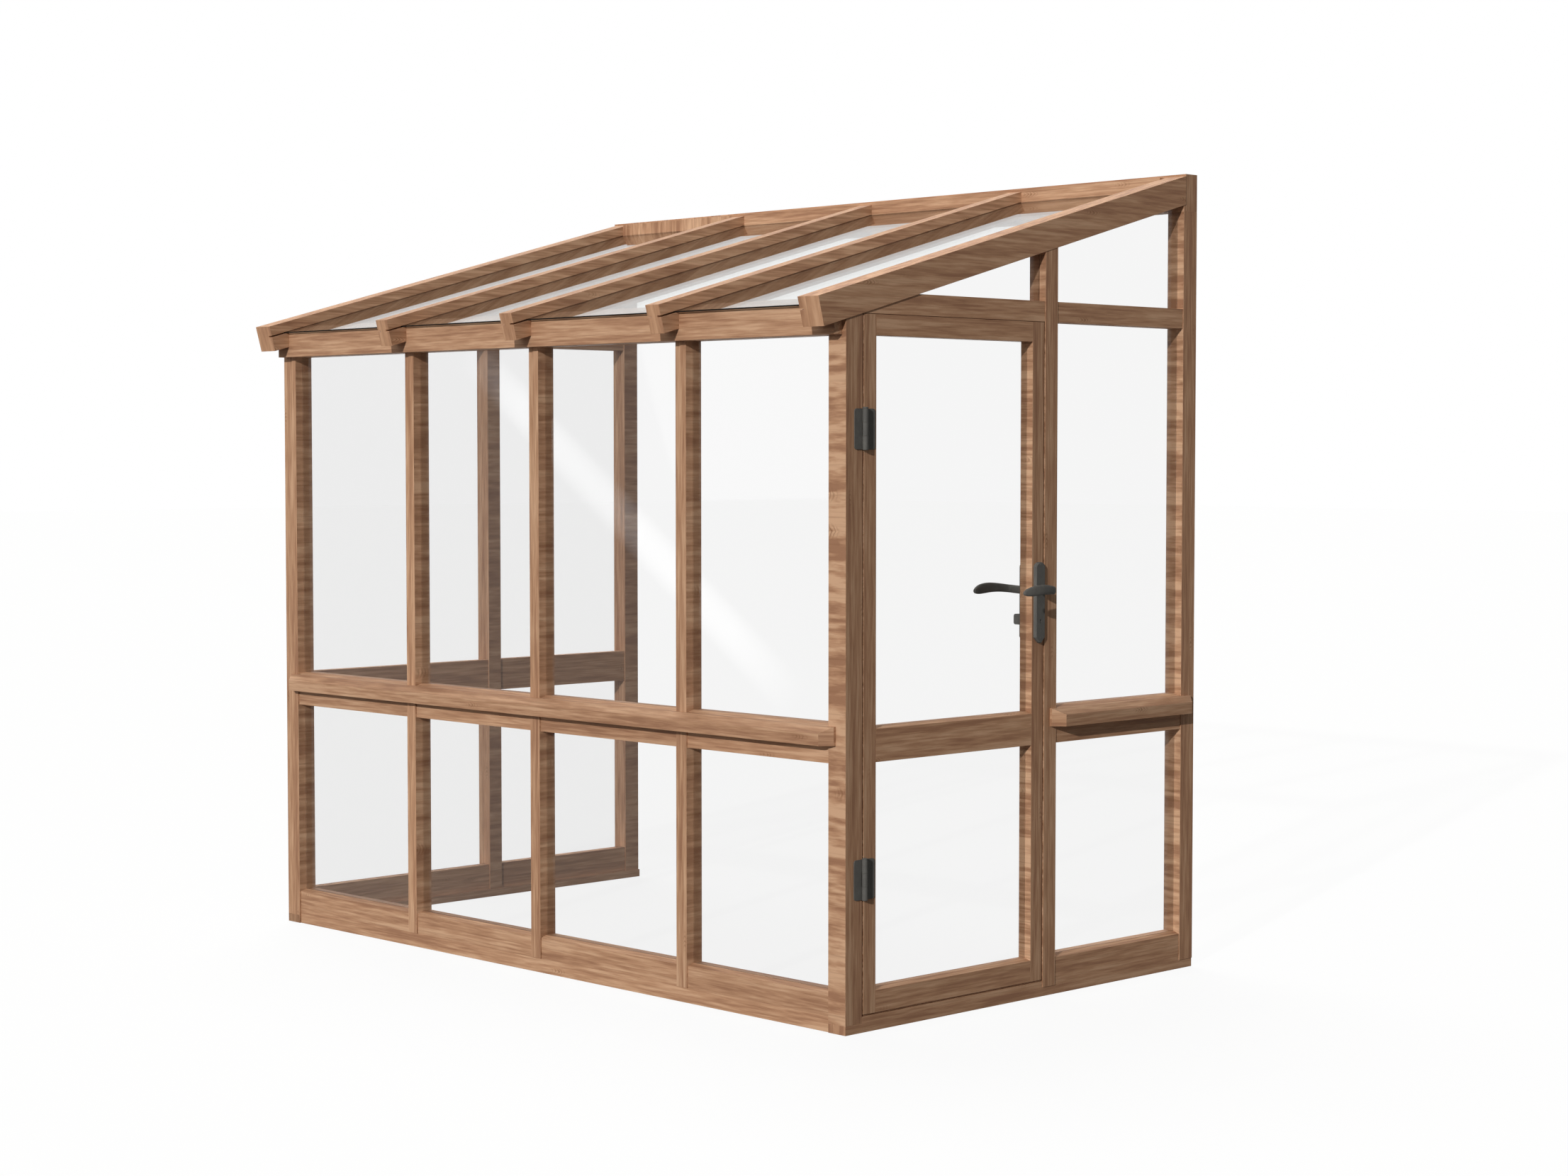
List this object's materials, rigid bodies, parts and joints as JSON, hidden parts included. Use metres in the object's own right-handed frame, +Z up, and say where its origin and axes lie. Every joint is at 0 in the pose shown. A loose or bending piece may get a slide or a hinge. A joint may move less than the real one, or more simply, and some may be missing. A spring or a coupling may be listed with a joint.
{
  "type": "lean-to glasshouse",
  "caption": "Timber-framed lean-to glasshouse with glazed front, ends and sloping roof, an open back to set against a wall, and a hinged glazed end door with lever lock.",
  "frame": {"origin": "ground level under the middle of the front wall, on the underside of the front sole plate", "axes": "+X along the front towards the door end, +Y to the open back, +Z up"},
  "size_m": [2.6587, 1.5565, 2.3229],
  "materials": {
    "timber": "oiled softwood, satin, grain along each piece",
    "glass": "clear float glass",
    "dark_hardware": "dark graphite powder coat, satin"
  },
  "bodies": {
    "frame": {"sole_plate_front": "timber", "sole_plate_left": "timber", "sole_plate_right": "timber", "threshold_strips": "timber", "corner_post_left": "timber", "corner_post_right": "timber", "rear_post_left": "timber", "rear_post_right": "timber", "front_mullions": "timber", "front_bottom_rails": "timber", "front_sill_rails": "timber", "front_sill": "timber", "front_lower_glass": "glass", "front_upper_glass": "glass", "eaves_beam": "timber", "left_mid_post": "timber", "left_bottom_rails": "timber", "left_sill_rails": "timber", "left_sill": "timber", "left_transoms": "timber", "left_wall_glass": "glass", "right_mid_post": "timber", "right_bottom_rail": "timber", "right_sill_rail": "timber", "right_sill": "timber", "right_transoms": "timber", "right_wall_glass": "glass", "gable_glass": "glass", "end_rafter_left": "timber", "end_rafter_right": "timber", "rafters": "timber", "ridge_board": "timber", "ridge_ledger": "timber", "roof_glass": "glass", "hinge_frame_leaves": "dark_hardware"},
    "door": {"door_hinge_stile": "timber", "door_lock_stile": "timber", "door_top_rail": "timber", "door_mid_rail": "timber", "door_bottom_rail": "timber", "door_glass": "glass", "hinge_door_leaves": "dark_hardware", "lock_backplates": "dark_hardware"},
    "lever": {"lever_handle": "dark_hardware"},
    "thumbturn_knob": {"thumbturn": "dark_hardware"}
  },
  "joints": [
    {"name": "door_swing", "type": "hinge", "parent": "frame", "child": "door", "pos_m": [1.2765, 0.035, 0.99], "axis": [0, 0, -1], "range_deg": [0, 100]},
    {"name": "lever_press", "type": "hinge", "parent": "door", "child": "lever", "pos_m": [1.247, 0.7275, 1.134], "axis": [1, 0, 0], "range_deg": [0, 40], "stiffness_Nm_per_rad": 1.5, "springref_deg": -20.05},
    {"name": "thumbturn_turn", "type": "hinge", "parent": "door", "child": "thumbturn_knob", "pos_m": [1.2, 0.7275, 1.052], "axis": [1, 0, 0], "range_deg": [0, 90]}
  ]
}
